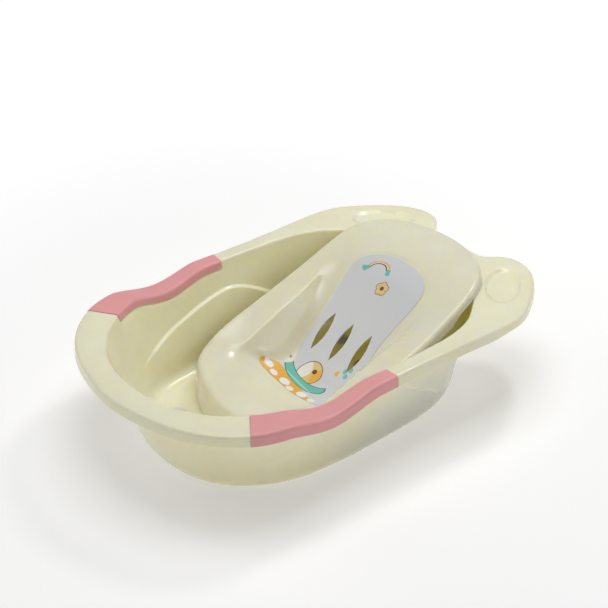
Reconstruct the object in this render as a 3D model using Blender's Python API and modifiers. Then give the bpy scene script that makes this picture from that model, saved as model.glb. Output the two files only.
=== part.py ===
"""Baby bathtub with two carrying ears, soft rim grips and a lift-out bath seat.

Metres, +Z up. The origin is under the middle of the tub, on the surface it stands on.
The foot end points along -X and the head end, with the ears, along +X.
"""

import math

import bmesh
import bpy
import numpy as np

# Driving dimensions.
RIM_Z = 0.195
WALL = 0.0022
PAD_HEIGHT = 0.003
FIT_GAP = 0.0003
SKIRT_DEPTH = 0.020
EAR_SKIRT_DEPTH = 0.015
SKIRT_FLARE = 0.0012
EAR_FROM = 0.20
EAR_BLEND = 0.06
RIM_EDGE_RADIUS = 0.004
RIM_INNER_RADIUS = 0.006
BOTTOM_RADIUS = 0.026
FLOOR_Z = PAD_HEIGHT + WALL

GRIP_DIP = 0.017
GRIP_DIP_X = -0.151
GRIP_DIP_HALF_LENGTH = 0.095
GRIP_SIDE_FROM = 0.15
GRIP_THICKNESS = 0.0020
GRIP_PROUD = 0.0008
GRIP_STATIONS = (4.42, 8.72)
GRIP_LIP = 0.011
GRIP_END_STEP = 0.012
GRIP_CLEARANCE = 0.0006

LEDGE_INWARD = 0.009
LEDGE_ENDS = (-0.245, 0.170)
LEDGE_END_FADE = 0.05
LEDGE_STEP_HEIGHT = 0.014
LEDGE_FOOT = 0.012
EAR_DISH_CENTRE = (0.335, 0.166)
EAR_DISH_RADII = (0.062, 0.033)
EAR_DISH_TURN = math.radians(-40.5)
EAR_DISH_DEPTH = 0.005
EAR_DISH_WALL = 0.18

DRAIN_X = 0.150
DRAIN_RADIUS = 0.018

SEAT_WALL = 0.0020
SEAT_ROLL = 0.010
SEAT_SKIRT = 0.022
SEAT_SKIRT_FLARE = 0.0015
SEAT_CLEARANCE = 0.0010
FOOT_ROLL_FROM = -0.060
FOOT_ROLL_BLEND = 0.070
FOOT_ROLL_REACH = 0.014
FOOT_ROLL_FALL = 0.020
ON_FLOOR_FROM = -0.062
ON_FLOOR_BLEND = 0.075
ON_RIM_FROM = 0.195
ON_RIM_BLEND = 0.045
POCKET_DEPTH = 0.018
POCKET_EDGE = 0.009
SLOT_X = (0.056, 0.118)
SLOT_SPACING = 0.0515
SLOT_HALF_WIDTH = 0.0095
WEEP_HOLE = (0.025, 0.073)
WEEP_RADIUS = 0.0025
CUTTER_FOOT = 0.03
CUTTER_HEIGHT = 0.15
LABEL_THICKNESS = 0.0005

PAD_RADIUS = 0.017
PAD_PLACES = ((-0.215, 0.105), (0.175, 0.105))

# Half plans from the foot end round to the head end. The same entry of the three
# lists is one section through the rim and wall: outer rim edge, inner rim edge and
# the corner where the outside of the wall would meet the floor.
RIM_OUTER = (
    (-0.423, 0.000), (-0.4165, 0.060), (-0.401, 0.120), (-0.374, 0.176), (-0.330, 0.226),
    (-0.272, 0.258), (-0.205, 0.268), (-0.135, 0.267), (-0.065, 0.266), (0.009, 0.2645),
    (0.085, 0.2645), (0.160, 0.2665), (0.225, 0.2690), (0.283, 0.264), (0.335, 0.238),
    (0.385, 0.199), (0.417, 0.155), (0.4215, 0.110), (0.401, 0.081), (0.382, 0.062),
    (0.3815, 0.030), (0.383, 0.000),
)
RIM_INNER = (
    (-0.374, 0.000), (-0.369, 0.052), (-0.355, 0.098), (-0.329, 0.141), (-0.291, 0.179),
    (-0.243, 0.209), (-0.190, 0.223), (-0.130, 0.227), (-0.065, 0.231), (0.005, 0.2325),
    (0.070, 0.2305), (0.125, 0.2275), (0.170, 0.2195), (0.207, 0.205), (0.240, 0.182),
    (0.268, 0.157), (0.292, 0.130), (0.312, 0.103), (0.327, 0.076), (0.337, 0.050),
    (0.342, 0.025), (0.344, 0.000),
)
WALL_FOOT = (
    (-0.320, 0.000), (-0.317, 0.042), (-0.305, 0.085), (-0.281, 0.125), (-0.245, 0.158),
    (-0.201, 0.182), (-0.155, 0.195), (-0.105, 0.200), (-0.050, 0.202), (0.005, 0.200),
    (0.060, 0.197), (0.107, 0.193), (0.147, 0.186), (0.180, 0.176), (0.208, 0.162),
    (0.233, 0.144), (0.255, 0.122), (0.272, 0.098), (0.284, 0.073), (0.291, 0.048),
    (0.295, 0.024), (0.296, 0.000),
)
# The ledge moulded into each side wall: height of its crest along the tub.
LEDGE_CREST = (
    (-0.260, 0.030), (-0.215, 0.077), (-0.162, 0.104), (-0.103, 0.122), (-0.052, 0.139),
    (-0.013, 0.143), (0.026, 0.135), (0.085, 0.103), (0.128, 0.075), (0.180, 0.030),
)
# Seat: half plan of the flat top inside its rolled edge, then heights along the tub.
SEAT_PLAN = (
    (-0.168, 0.000), (-0.164, 0.050), (-0.149, 0.100), (-0.116, 0.145), (-0.063, 0.168),
    (0.000, 0.171), (0.065, 0.171), (0.130, 0.170), (0.190, 0.167), (0.246, 0.160),
    (0.292, 0.137), (0.325, 0.100), (0.344, 0.050), (0.350, 0.000),
)
SEAT_CORNERS = (3, 10)
# Columns across the seat lie closest together over the walls of the hollow.
SEAT_COLUMNS = (
    (-1.0, -1.0), (-0.85, -0.78), (-0.3, -0.42), (0.0, 0.0), (0.3, 0.42), (0.85, 0.78), (1.0, 1.0),
)
SEAT_BORDER = (
    (-0.200, 0.074), (-0.150, 0.080), (-0.110, 0.084), (-0.060, 0.093), (0.010, 0.114),
    (0.070, 0.134), (0.130, 0.153), (0.170, 0.170), (0.210, 0.190), (0.250, 0.207),
    (0.290, 0.216), (0.360, 0.219),
)
SEAT_HOLLOW = (
    (-0.200, 0.066), (-0.150, 0.062), (-0.100, 0.048), (-0.035, 0.030), (0.000, 0.031),
    (0.030, 0.040), (0.058, 0.061), (0.117, 0.114), (0.160, 0.151), (0.194, 0.178),
    (0.225, 0.193), (0.260, 0.206), (0.300, 0.216), (0.360, 0.219),
)
HOLLOW_HALF_WIDTH = (
    (-0.200, 0.080), (-0.100, 0.100), (-0.031, 0.105), (0.008, 0.087), (0.057, 0.081),
    (0.110, 0.086), (0.165, 0.094), (0.205, 0.094), (0.240, 0.078), (0.360, 0.050),
)
HOLLOW_RAMP = (
    (-0.200, 0.070), (-0.080, 0.055), (-0.020, 0.030), (0.130, 0.030), (0.200, 0.045),
    (0.360, 0.060),
)
HOLLOW_DISH = 2.2
HOLLOW_DISH_END = 0.06
HOLLOW_DISH_BLEND = 0.08
POCKET = ((0.144, 0.127), (-0.052, 0.117), (0.008, 0.090))
LABEL_PLAN = (
    (-0.035, 0.000), (-0.034, 0.045), (-0.031, 0.096), (0.008, 0.079), (0.057, 0.0745),
    (0.110, 0.080), (0.165, 0.089), (0.205, 0.088), (0.232, 0.062), (0.243, 0.030),
    (0.245, 0.000),
)
LABEL_CORNERS = (2, 7)

SAMPLES_PER_SECTION = 2


def clear_scene():
    for obj in list(bpy.data.objects):
        bpy.data.objects.remove(obj, do_unlink=True)


def collection(name):
    made = bpy.data.collections.new(name)
    bpy.context.scene.collection.children.link(made)
    return made


def material(name, colour, roughness):
    made = bpy.data.materials.new(name)
    made.use_nodes = True
    shader = made.node_tree.nodes["Principled BSDF"]
    shader.inputs["Base Color"].default_value = (*colour, 1.0)
    shader.inputs["Roughness"].default_value = roughness
    shader.inputs["Metallic"].default_value = 0.0
    made.diffuse_color = (*colour, 1.0)
    return made


def new_object(name, verts, faces, mat, group):
    mesh = bpy.data.meshes.new(name)
    mesh.from_pydata([tuple(map(float, v)) for v in verts], [], faces)
    mesh.update()
    mesh.materials.append(mat)
    mesh.shade_smooth()
    mesh.set_sharp_from_angle(angle=math.radians(40.0))
    obj = bpy.data.objects.new(name, mesh)
    group.objects.link(obj)
    return obj


def solidify(obj, thickness, even=True):
    """Grows the sheet away from the side its faces point to."""
    modifier = obj.modifiers.new("wall", "SOLIDIFY")
    modifier.thickness = thickness
    modifier.offset = -1.0
    modifier.use_even_offset = even
    modifier.use_quality_normals = True


def cut(obj, cutter):
    modifier = obj.modifiers.new("cut " + cutter.name, "BOOLEAN")
    modifier.operation = "DIFFERENCE"
    modifier.object = cutter


def mirrored_loop(half):
    """A half plan and its mirror image as one closed loop, foot end first."""
    half = np.array(half)
    return np.vstack([half, half[-2:0:-1] * (1.0, -1.0)])


def closed_curve(points, at):
    """The uniform cubic B-spline that passes through a closed loop of points."""
    count = len(points)
    row = np.zeros(count)
    row[[0, 1, -1]] = (4.0, 1.0, 1.0)
    circulant = np.array([np.roll(row, i) for i in range(count)]) / 6.0
    control = np.linalg.solve(circulant, points)
    first = np.floor(at).astype(int)
    t = (at - first)[:, None]
    weights = ((1 - t) ** 3, 3 * t**3 - 6 * t**2 + 4, -3 * t**3 + 3 * t**2 + 3 * t + 1, t**3)
    return sum(w * control[(first + k - 1) % count] for k, w in enumerate(weights)) / 6.0


def table(pairs, x):
    """A smooth curve through the pairs: cubic between them, with limited slopes."""
    xs, ys = np.array(pairs).T
    x = np.clip(x, xs[0], xs[-1])
    chord = np.diff(ys) / np.diff(xs)
    slope = np.concatenate([chord[:1], (chord[1:] + chord[:-1]) / 2, chord[-1:]])
    i = np.clip(np.searchsorted(xs, x, side="right") - 1, 0, len(xs) - 2)
    h = xs[i + 1] - xs[i]
    t = (x - xs[i]) / h
    blend = t * t * (3 - 2 * t)
    bend = t * (1 - t) * h
    ends = ys[i] * (1 - blend) + ys[i + 1] * blend
    return ends + bend * ((1 - t) * slope[i] - t * slope[i + 1])


def smoothstep(value):
    value = np.clip(value, 0.0, 1.0)
    return value * value * (3 - 2 * value)


def unit(vectors):
    return vectors / np.maximum(np.linalg.norm(vectors, axis=-1, keepdims=True), 1e-9)


def loop_grid_faces(rows, columns):
    """Quads of a grid whose columns close into a loop."""
    return [
        (r * columns + c, r * columns + (c + 1) % columns,
         (r + 1) * columns + (c + 1) % columns, (r + 1) * columns + c)
        for r in range(rows - 1)
        for c in range(columns)
    ]


def sheet_faces(rows, columns):
    return [
        (r * columns + c, r * columns + c + 1, (r + 1) * columns + c + 1, (r + 1) * columns + c)
        for r in range(rows - 1)
        for c in range(columns - 1)
    ]


def surface_normals(down, along):
    """Unit normals from the steps down and along a grid of points."""
    return unit(np.cross(down, along))


def rim_drop(x, y):
    """How far the rim dips below its level top, where the hands hold it."""
    away = np.abs(x - GRIP_DIP_X) / GRIP_DIP_HALF_LENGTH
    return np.where(np.abs(y) > GRIP_SIDE_FROM, GRIP_DIP * smoothstep(1.0 - away) ** 0.8, 0.0)


def ledge(x, z):
    """Inward step of the side wall below the crest of its arched ledge."""
    crest = table(LEDGE_CREST, x)
    low, high = LEDGE_ENDS
    ends = smoothstep((x - low) / LEDGE_END_FADE) * smoothstep((high - x) / LEDGE_END_FADE)
    below = smoothstep((crest - z) / LEDGE_STEP_HEIGHT)
    fade = smoothstep((z - LEDGE_FOOT) / LEDGE_END_FADE)
    return LEDGE_INWARD * ends * below * fade


def ear_dish(x, y):
    """Depth of the shallow oval dish in each ear, its long axis along the outer edge."""
    from_x = x - EAR_DISH_CENTRE[0]
    from_y = np.abs(y) - EAR_DISH_CENTRE[1]
    turn = EAR_DISH_TURN
    long = (from_x * math.cos(turn) + from_y * math.sin(turn)) / EAR_DISH_RADII[0]
    short = (from_y * math.cos(turn) - from_x * math.sin(turn)) / EAR_DISH_RADII[1]
    return EAR_DISH_DEPTH * smoothstep((1.0 - np.hypot(long, short)) / EAR_DISH_WALL)


def tub_sections(at):
    """The top side of the moulding as a grid: rows run from the foot of the skirt over
    the rim and down the wall to the drain, columns round the tub. Row names mark the
    stretch that a grip covers."""
    outer = closed_curve(mirrored_loop(RIM_OUTER), at)
    inner = closed_curve(mirrored_loop(RIM_INNER), at)
    foot = closed_curve(mirrored_loop(WALL_FOOT), at)
    out = unit(outer - inner)
    top = RIM_Z - rim_drop(outer[:, 0], outer[:, 1])
    is_ear = smoothstep((outer[:, 0] - EAR_FROM) / EAR_BLEND)
    skirt = SKIRT_DEPTH + (EAR_SKIRT_DEPTH - SKIRT_DEPTH) * is_ear
    rows = []

    def add(plan, z):
        rows.append(np.column_stack([plan, np.broadcast_to(z, len(plan))]))

    add(outer + SKIRT_FLARE * out, top - skirt)
    add(outer + SKIRT_FLARE / 3 * out, top - (skirt + RIM_EDGE_RADIUS) / 2)
    for angle in (0.0, 45.0, 90.0):
        turn = math.radians(angle)
        add(outer - RIM_EDGE_RADIUS * (1 - math.cos(turn)) * out,
            top - RIM_EDGE_RADIUS * (1 - math.sin(turn)))
    rim_from = outer - RIM_EDGE_RADIUS * out
    rim_to = inner + RIM_INNER_RADIUS * out
    for share in (0.25, 0.5, 0.75, 1.0):
        plan = rim_from + share * (rim_to - rim_from)
        add(plan, top - ear_dish(plan[:, 0], plan[:, 1]))
    turn = math.radians(60.0)
    add(inner + RIM_INNER_RADIUS * (1 - math.sin(turn)) * out,
        top - RIM_INNER_RADIUS * (1 - math.cos(turn)))
    wall_top = rows[-1]
    wall_foot = np.column_stack([foot - WALL * unit(foot - (0.0, 0.0)), np.full(len(foot), FLOOR_Z)])
    down = wall_foot - wall_top
    length = np.linalg.norm(down, axis=1)
    lip = GRIP_LIP / length
    for share in (1.0 * lip, 1.3 * lip, 0.28, 0.42, 0.56, 0.70):
        point = wall_top + np.broadcast_to(share, len(down))[:, None] * down
        inward = ledge(point[:, 0], point[:, 2])[:, None]
        rows.append(point - inward * np.column_stack([out, np.zeros(len(out))]))
    inward_unit = unit(np.column_stack([-out, np.zeros(len(out))]))
    for angle in (0.0, 30.0, 60.0, 90.0):
        turn = math.radians(angle)
        slope = -down / length[:, None]
        start = BOTTOM_RADIUS * 0.8
        first = (1 - math.sin(turn)) ** 1.6
        last = (1 - math.cos(turn)) ** 1.6
        rows.append(wall_foot + start * (first * slope + last * inward_unit))
    drain = np.column_stack([
        DRAIN_X + DRAIN_RADIUS * np.cos(np.arctan2(foot[:, 1], foot[:, 0] - DRAIN_X)),
        DRAIN_RADIUS * np.sin(np.arctan2(foot[:, 1], foot[:, 0] - DRAIN_X)),
        np.full(len(foot), FLOOR_Z),
    ])
    rows.append(drain)
    return np.array(rows)


GRIP_ROWS = 11


def tub_normals(at):
    """Unit normals of the top side: up on the rim, out on the skirt, in on the wall."""
    near = 0.01
    down = np.gradient(tub_sections(at), axis=0)
    return surface_normals(down, tub_sections(at + near) - tub_sections(at - near))


def grip_ends(inset):
    """Where the grips start and stop, each moved towards the middle of its grip."""
    low, high = GRIP_STATIONS
    return low + inset, high - inset


def section_stations():
    """Columns round the tub, with a close pair at each end of each grip."""
    count = 2 * (len(RIM_OUTER) - 1)
    even = np.arange(count * SAMPLES_PER_SECTION) / SAMPLES_PER_SECTION
    ends = np.array(grip_ends(GRIP_END_STEP) + grip_ends(-GRIP_END_STEP))
    return np.unique(np.concatenate([even, ends, count - ends]))


def on_grip(at):
    low, high = GRIP_STATIONS
    mirror = 2 * (len(RIM_OUTER) - 1) - at
    return ((at > low) & (at < high)) | ((mirror > low) & (mirror < high))


def tub_shell(mat, group):
    at = section_stations()
    sunk = GRIP_THICKNESS - GRIP_PROUD + GRIP_CLEARANCE
    covered = np.zeros((GRIP_ROWS, len(at))) + on_grip(at)
    grid = tub_sections(at)
    grid[:GRIP_ROWS] -= sunk * covered[:, :, None] * tub_normals(at)[:GRIP_ROWS]
    rows, columns = grid.shape[:2]
    faces = [face[::-1] for face in loop_grid_faces(rows, columns)]
    obj = new_object("tub_shell", grid.reshape(-1, 3), faces, mat, group)
    solidify(obj, WALL)
    return obj


def grip(name, side, mat, group):
    at = section_stations()
    low, high = grip_ends(2 * GRIP_END_STEP)
    at = np.concatenate([[low], at[(at > low) & (at < high)], [high]])
    sheet = tub_sections(at) + GRIP_PROUD * tub_normals(at)
    sheet = sheet[:GRIP_ROWS] * (1.0, side, 1.0)
    faces = sheet_faces(*sheet.shape[:2])
    if side > 0:
        faces = [face[::-1] for face in faces]
    obj = new_object(name, sheet.reshape(-1, 3), faces, mat, group)
    solidify(obj, GRIP_THICKNESS, even=False)
    return obj


def pocket_depth(x, y):
    """Depth of the three-cornered pocket beside the hollow, deepest at its foot end."""
    (tip_x, tip_y), (out_x, out_y), (in_x, in_y) = POCKET
    y = np.abs(y)
    outer_side = out_y + (x - out_x) * (tip_y - out_y) / (tip_x - out_x)
    inner_side = in_y + (x - in_x) * (tip_y - in_y) / (tip_x - in_x)
    foot_side = out_x + (y - out_y) * (in_x - out_x) / (in_y - out_y)
    edge = POCKET_EDGE
    inside = smoothstep((outer_side - y) / edge) * smoothstep((y - inner_side) / (2 * edge))
    inside = inside * smoothstep((x - foot_side) / edge) * smoothstep((tip_x - x) / edge)
    deep = np.clip((tip_x - x) / (tip_x - out_x), 0.0, 1.0)
    return POCKET_DEPTH * deep * inside


def seat_height(x, y):
    """Top of the seat: a sloping border, a waisted hollow and two side pockets."""
    border = table(SEAT_BORDER, x)
    hollow = table(SEAT_HOLLOW, x)
    side = np.abs(y)
    rise = smoothstep((side - table(HOLLOW_HALF_WIDTH, x)) / table(HOLLOW_RAMP, x))
    dish = HOLLOW_DISH * smoothstep((HOLLOW_DISH_END - x) / HOLLOW_DISH_BLEND) * side**2
    level = np.minimum(hollow + dish, border)
    return level + (border - level) * rise - pocket_depth(x, y)


def fill_plan(half, corners, shares, along):
    """A grid of plan points over a closed plan: lines across it and along it, blended
    from its four edges. The edges meet at the listed corners and their mirror images.
    The shares run from -1 on the right edge to 1 on the left edge."""
    loop = mirrored_loop(half)
    count = len(loop)
    low, high = corners
    foot = closed_curve(loop, (low * shares) % count)
    head = closed_curve(loop, (count / 2 - (count / 2 - high) * shares) % count)
    left = closed_curve(loop, np.linspace(low, high, along))
    right = left * (1.0, -1.0)
    u = (shares[None, :, None] + 1) / 2
    v = np.linspace(0.0, 1.0, along)[:, None, None]
    ends = (1 - v) * foot[None] + v * head[None]
    sides = (1 - u) * right[:, None] + u * left[:, None]
    corner = (1 - v) * ((1 - u) * foot[0] + u * foot[-1]) + v * ((1 - u) * head[0] + u * head[-1])
    return ends + sides - corner


def boundary_loop(rows, columns):
    """Indices round the edge of a grid, anticlockwise seen from above."""
    index = np.arange(rows * columns).reshape(rows, columns)
    return np.concatenate([index[0, ::-1], index[1:, 0], index[-1, 1:], index[-2:0:-1, -1]])


def seat_skirt_bottom(x, crest):
    """The skirt stands on the tub floor at the foot end and on the rim at the head end."""
    hanging = crest - SEAT_SKIRT
    to_floor = smoothstep((ON_FLOOR_FROM - x) / ON_FLOOR_BLEND)
    to_rim = smoothstep((x - ON_RIM_FROM) / ON_RIM_BLEND)
    low = hanging + (FLOOR_Z + SEAT_CLEARANCE - hanging) * to_floor
    return low + (RIM_Z + SEAT_CLEARANCE - low) * to_rim


def bath_seat(mat, group, cutters):
    across, along = 25, 29
    even = np.linspace(-1.0, 1.0, across)
    shares = np.interp(even, *np.array(SEAT_COLUMNS).T)
    plan = fill_plan(SEAT_PLAN, SEAT_CORNERS, shares, along)
    height = seat_height(plan[..., 0], plan[..., 1])
    top = np.concatenate([plan, height[..., None]], axis=2).reshape(-1, 3)
    faces = [face[::-1] for face in sheet_faces(along, across)]
    ring = boundary_loop(along, across)
    edge = top[ring]
    step = np.roll(edge, -1, axis=0) - np.roll(edge, 1, axis=0)
    outward = unit(np.column_stack([step[:, 1], -step[:, 0]]))
    foot_end = smoothstep((FOOT_ROLL_FROM - edge[:, 0]) / FOOT_ROLL_BLEND)
    reach = SEAT_ROLL + FOOT_ROLL_REACH * foot_end
    fall = SEAT_ROLL + FOOT_ROLL_FALL * foot_end
    bottom = seat_skirt_bottom(edge[:, 0], edge[:, 2])
    points = [top]
    start = len(top)
    previous = ring
    for angle in (30.0, 60.0, 85.0):
        turn = math.radians(angle)
        plan_row = edge[:, :2] + (reach * math.sin(turn))[:, None] * outward
        z = edge[:, 2] - fall * (1 - math.cos(turn))
        points.append(np.column_stack([plan_row, z]))
    foot_plan = edge[:, :2] + (reach + SEAT_SKIRT_FLARE)[:, None] * outward
    points.append(np.column_stack([foot_plan, bottom]))
    for _ in range(4):
        current = start + np.arange(len(ring))
        for i in range(len(ring)):
            j = (i + 1) % len(ring)
            faces.append((previous[i], current[i], current[j], previous[j]))
        previous = current
        start += len(ring)
    faces = [tuple(int(i) for i in face) for face in faces]
    obj = new_object("bath_seat", np.vstack(points), faces, mat, group)
    solidify(obj, SEAT_WALL)
    for cutter in cutters:
        cut(obj, cutter)
    return obj


def seat_label(mat, group, cutters):
    across, along = 11, 22
    plan = fill_plan(LABEL_PLAN, LABEL_CORNERS, np.linspace(-1.0, 1.0, across), along)
    height = seat_height(plan[..., 0], plan[..., 1])
    top = np.concatenate([plan, height[..., None]], axis=2)
    lift = 6 * FIT_GAP + LABEL_THICKNESS
    top = top + lift * surface_normals(np.gradient(top, axis=0), np.gradient(top, axis=1))
    faces = [face[::-1] for face in sheet_faces(along, across)]
    obj = new_object("seat_label", top.reshape(-1, 3), faces, mat, group)
    solidify(obj, LABEL_THICKNESS)
    for cutter in cutters:
        cut(obj, cutter)
    return obj


def leaf_cutter(name, y, group):
    """Upright prism with the pointed-oval plan of a drain slot."""
    low, high = SLOT_X
    middle = (low + high) / 2
    share = np.linspace(-1.0, 1.0, 9)
    upper = [(middle + s * (high - low) / 2, y + SLOT_HALF_WIDTH * (1 - s * s)) for s in share]
    lower = [(px, 2 * y - py) for px, py in upper[-2:0:-1]]
    bm = bmesh.new()
    base = bm.faces.new([bm.verts.new((px, py, CUTTER_FOOT)) for px, py in upper + lower])
    bm.normal_update()
    if base.normal.z > 0:
        base.normal_flip()
    grown = bmesh.ops.extrude_face_region(bm, geom=[base])
    raised = [item for item in grown["geom"] if isinstance(item, bmesh.types.BMVert)]
    bmesh.ops.translate(bm, verts=raised, vec=(0.0, 0.0, CUTTER_HEIGHT))
    bmesh.ops.recalc_face_normals(bm, faces=bm.faces)
    mesh = bpy.data.meshes.new(name)
    bm.to_mesh(mesh)
    bm.free()
    return helper(name, mesh, group)


def round_cutter(name, place, radius, group):
    bm = bmesh.new()
    bmesh.ops.create_cone(
        bm, cap_ends=True, segments=12, radius1=radius, radius2=radius, depth=CUTTER_HEIGHT
    )
    mesh = bpy.data.meshes.new(name)
    bm.to_mesh(mesh)
    bm.free()
    obj = helper(name, mesh, group)
    obj.location = (place[0], place[1], CUTTER_HEIGHT / 2)
    return obj


def helper(name, mesh, group):
    obj = bpy.data.objects.new(name, mesh)
    obj.hide_render = True
    obj.display_type = "WIRE"
    group.objects.link(obj)
    return obj


def drain_plug(mat, group):
    """Turned stopper: a flange on the floor, a stem in the drain and a pull knob."""
    stem = DRAIN_RADIUS - FIT_GAP
    seat_z = FLOOR_Z + FIT_GAP
    profile = (
        (0.0, seat_z + 0.020), (0.006, seat_z + 0.0195), (0.009, seat_z + 0.016),
        (0.0075, seat_z + 0.012), (0.005, seat_z + 0.008), (0.006, seat_z + 0.0045),
        (0.021, seat_z + 0.0035), (0.0235, seat_z + 0.0022), (0.0235, seat_z),
        (stem, seat_z), (stem - 0.001, PAD_HEIGHT - 0.001), (0.0, PAD_HEIGHT - 0.001),
    )
    mesh = bpy.data.meshes.new("drain_plug")
    edges = [(i, i + 1) for i in range(len(profile) - 1)]
    mesh.from_pydata([(r, 0.0, z) for r, z in profile], edges, [])
    mesh.materials.append(mat)
    obj = bpy.data.objects.new("drain_plug", mesh)
    obj.location = (DRAIN_X, 0.0, 0.0)
    group.objects.link(obj)
    turn = obj.modifiers.new("turn", "SCREW")
    turn.steps = 24
    turn.render_steps = 24
    turn.use_merge_vertices = True
    turn.merge_threshold = 0.00005
    turn.use_smooth_shade = True
    return obj


def foot_pad(name, place, mat, group):
    height = PAD_HEIGHT - FIT_GAP
    bpy.ops.mesh.primitive_cylinder_add(vertices=24, radius=PAD_RADIUS, depth=height)
    obj = bpy.context.object
    obj.name = name
    obj.data.name = name
    obj.location = (place[0], place[1], height / 2)
    obj.data.materials.append(mat)
    for owner in list(obj.users_collection):
        owner.objects.unlink(obj)
    group.objects.link(obj)
    return obj


clear_scene()
parts = collection("baby_bathtub")
helpers = collection("cutters")
cream = material("cream polypropylene", (0.60, 0.56, 0.40), 0.28)
pink = material("pink soft grip", (0.70, 0.29, 0.29), 0.40)
print_film = material("printed film", (0.55, 0.55, 0.57), 0.35)
rubber = material("grey rubber", (0.30, 0.30, 0.30), 0.60)

slots = [leaf_cutter(f"slot_{i}", (i - 1) * SLOT_SPACING, helpers) for i in range(3)]
weeps = [
    round_cutter(f"weep_{side}", (WEEP_HOLE[0], side * WEEP_HOLE[1]), WEEP_RADIUS, helpers)
    for side in (-1, 1)
]

tub_shell(cream, parts)
grip("grip_left", 1.0, pink, parts)
grip("grip_right", -1.0, pink, parts)
bath_seat(cream, parts, slots + weeps)
seat_label(print_film, parts, slots + weeps)
drain_plug(rubber, parts)
for number, (pad_x, pad_y) in enumerate([(x, s * y) for x, y in PAD_PLACES for s in (1, -1)], 1):
    foot_pad(f"foot_pad_{number}", (pad_x, pad_y), rubber, parts)
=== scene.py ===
"""Baby bathtub: the finished surfaces, materials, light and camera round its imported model.

Metres, +Z up. The foot end points along -X and the head end, with the two ears, along +X.
"""

import math

import bpy
import numpy as np
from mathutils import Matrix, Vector


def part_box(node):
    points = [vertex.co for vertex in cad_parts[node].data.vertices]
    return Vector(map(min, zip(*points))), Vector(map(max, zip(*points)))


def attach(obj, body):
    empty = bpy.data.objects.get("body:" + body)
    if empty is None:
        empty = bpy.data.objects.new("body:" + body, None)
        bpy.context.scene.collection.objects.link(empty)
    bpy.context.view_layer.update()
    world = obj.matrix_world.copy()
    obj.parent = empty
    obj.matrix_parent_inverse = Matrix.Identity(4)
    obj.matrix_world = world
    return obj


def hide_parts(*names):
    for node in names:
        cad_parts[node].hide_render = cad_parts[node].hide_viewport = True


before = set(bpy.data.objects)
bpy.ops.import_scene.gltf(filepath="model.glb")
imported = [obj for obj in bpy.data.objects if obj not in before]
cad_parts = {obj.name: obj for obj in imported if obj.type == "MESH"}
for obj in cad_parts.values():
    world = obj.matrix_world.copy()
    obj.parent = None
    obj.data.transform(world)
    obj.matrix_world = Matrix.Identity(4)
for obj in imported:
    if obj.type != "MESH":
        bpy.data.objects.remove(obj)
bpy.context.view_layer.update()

# Tub. One thin shell of injection-moulded polypropylene: a flat bottom, walls that lean
# outwards, and a broad flat rim turned down into a skirt. The rim widens into two ears
# at the head end, and an arched ledge is moulded into each side wall.
WALL = 0.0022
RIM_Z = 0.195
FLOOR_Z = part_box("tub_shell")[0].z + WALL
SKIRT_DEPTH = 0.020
EAR_SKIRT_DEPTH = 0.015
SKIRT_FLARE = 0.0012
EAR_FROM = 0.20
EAR_BLEND = 0.06
RIM_EDGE_RADIUS = 0.006
RIM_INNER_RADIUS = 0.006
BOTTOM_CORNER = 0.021
GRIP_DIP = 0.017
GRIP_DIP_X = -0.151
GRIP_DIP_HALF_LENGTH = 0.095
GRIP_DIP_FULLNESS = 0.8
GRIP_SIDE_FROM = 0.15
GRIP_STATIONS = (4.42, 8.72)
GRIP_END_STEP = 0.012
GRIP_LIP = 0.011
GRIP_SUNK = 0.0018
LEDGE_INWARD = 0.006
LEDGE_ENDS = (-0.240, 0.170)
LEDGE_END_FADE = 0.05
LEDGE_STEP_HEIGHT = 0.005
LEDGE_FOOT = 0.012
EAR_DISH_CENTRE = (0.335, 0.166)
EAR_DISH_RADII = (0.062, 0.033)
EAR_DISH_TURN = math.radians(-40.5)
EAR_DISH_DEPTH = 0.005
EAR_DISH_WALL = 0.13
DRAIN_X = 0.150
DRAIN_RADIUS = 0.018
# Half plans from the foot end round to the head end. The same entry of the three lists
# is one section: outer rim edge, inner rim edge and outside foot of the wall.
RIM_OUTER = (
    (-0.423, 0.000), (-0.4165, 0.060), (-0.401, 0.120), (-0.374, 0.176), (-0.330, 0.226),
    (-0.272, 0.258), (-0.205, 0.268), (-0.135, 0.267), (-0.065, 0.266), (0.009, 0.2645),
    (0.085, 0.2645), (0.160, 0.2665), (0.225, 0.2690), (0.283, 0.264), (0.335, 0.238),
    (0.385, 0.199), (0.417, 0.155), (0.4215, 0.110), (0.401, 0.081), (0.382, 0.062),
    (0.3815, 0.030), (0.383, 0.000),
)
RIM_INNER = (
    (-0.374, 0.000), (-0.369, 0.052), (-0.355, 0.098), (-0.329, 0.141), (-0.291, 0.179),
    (-0.243, 0.209), (-0.190, 0.223), (-0.130, 0.227), (-0.065, 0.231), (0.005, 0.2325),
    (0.070, 0.2305), (0.125, 0.2275), (0.170, 0.2195), (0.207, 0.205), (0.240, 0.182),
    (0.268, 0.157), (0.292, 0.130), (0.312, 0.103), (0.327, 0.076), (0.337, 0.050),
    (0.342, 0.025), (0.344, 0.000),
)
WALL_FOOT = (
    (-0.320, 0.000), (-0.317, 0.042), (-0.305, 0.085), (-0.281, 0.125), (-0.245, 0.158),
    (-0.201, 0.182), (-0.155, 0.195), (-0.105, 0.200), (-0.050, 0.202), (0.005, 0.200),
    (0.060, 0.197), (0.107, 0.193), (0.147, 0.186), (0.180, 0.176), (0.208, 0.162),
    (0.233, 0.144), (0.255, 0.122), (0.272, 0.098), (0.284, 0.073), (0.291, 0.048),
    (0.295, 0.024), (0.296, 0.000),
)
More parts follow.
